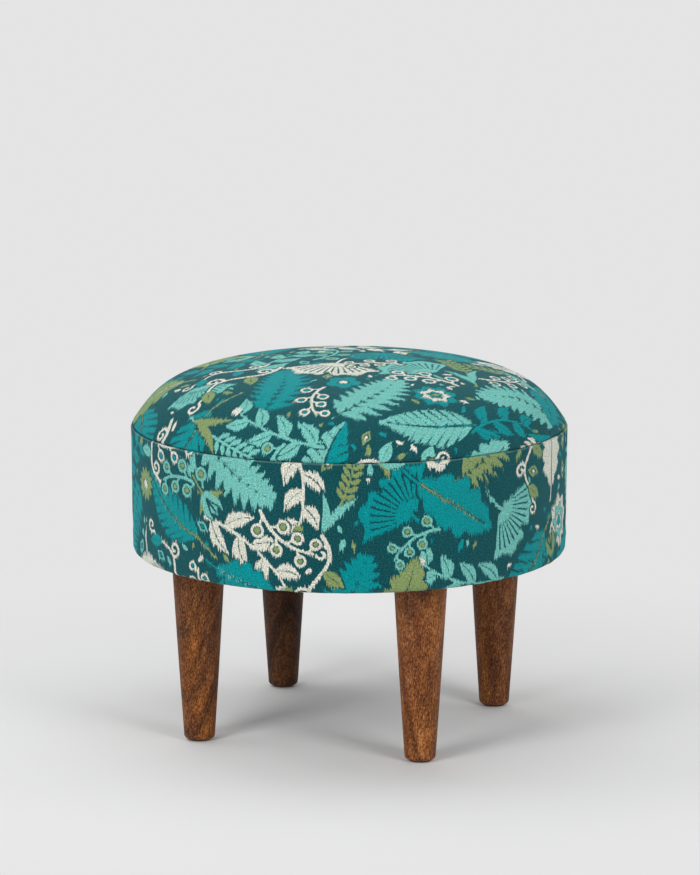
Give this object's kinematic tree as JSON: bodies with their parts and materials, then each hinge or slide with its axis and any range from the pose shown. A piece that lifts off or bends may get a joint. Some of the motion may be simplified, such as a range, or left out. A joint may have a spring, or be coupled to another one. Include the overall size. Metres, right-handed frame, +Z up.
{
  "type": "tuffet",
  "caption": "Round padded tuffet with a domed seat and a sewn side band, on tapered turned wooden legs.",
  "frame": {"origin": "on the floor, under the middle of the drum", "axes": "+Z up along the drum's axis; the legs stand on the diagonals between X and Y; -Y faces the front"},
  "size_m": [0.432, 0.432, 0.372],
  "materials": {
    "cover_fabric": "printed cotton canvas, matt",
    "leg_wood": "dark stained hardwood, satin lacquer",
    "frame_wood": "raw plywood and softwood",
    "foam": "open-cell foam, cream",
    "wadding": "white polyester wadding",
    "dust_cloth": "black non-woven cloth",
    "zinc_steel": "zinc-plated steel",
    "glide": "dark brown nylon"
  },
  "bodies": {
    "root": {"base_board": "frame_wood", "deck_board": "frame_wood", "drum_wall": "frame_wood", "batten_1": "frame_wood", "base_screw_1": "zinc_steel", "deck_screw_1": "zinc_steel", "batten_2": "frame_wood", "base_screw_2": "zinc_steel", "deck_screw_2": "zinc_steel", "batten_3": "frame_wood", "base_screw_3": "zinc_steel", "deck_screw_3": "zinc_steel", "batten_4": "frame_wood", "base_screw_4": "zinc_steel", "deck_screw_4": "zinc_steel", "batten_5": "frame_wood", "base_screw_5": "zinc_steel", "deck_screw_5": "zinc_steel", "batten_6": "frame_wood", "base_screw_6": "zinc_steel", "deck_screw_6": "zinc_steel", "leg_1": "leg_wood", "foot_glide_1": "glide", "hanger_bolt_1": "zinc_steel", "t_nut_1": "zinc_steel", "leg_2": "leg_wood", "foot_glide_2": "glide", "hanger_bolt_2": "zinc_steel", "t_nut_2": "zinc_steel", "leg_3": "leg_wood", "foot_glide_3": "glide", "hanger_bolt_3": "zinc_steel", "t_nut_3": "zinc_steel", "leg_4": "leg_wood", "foot_glide_4": "glide", "hanger_bolt_4": "zinc_steel", "t_nut_4": "zinc_steel", "side_foam": "foam", "top_foam": "foam", "top_wadding": "wadding", "cover_top": "cover_fabric", "cover_band": "cover_fabric", "dust_cover": "dust_cloth"}
  },
  "joints": []
}
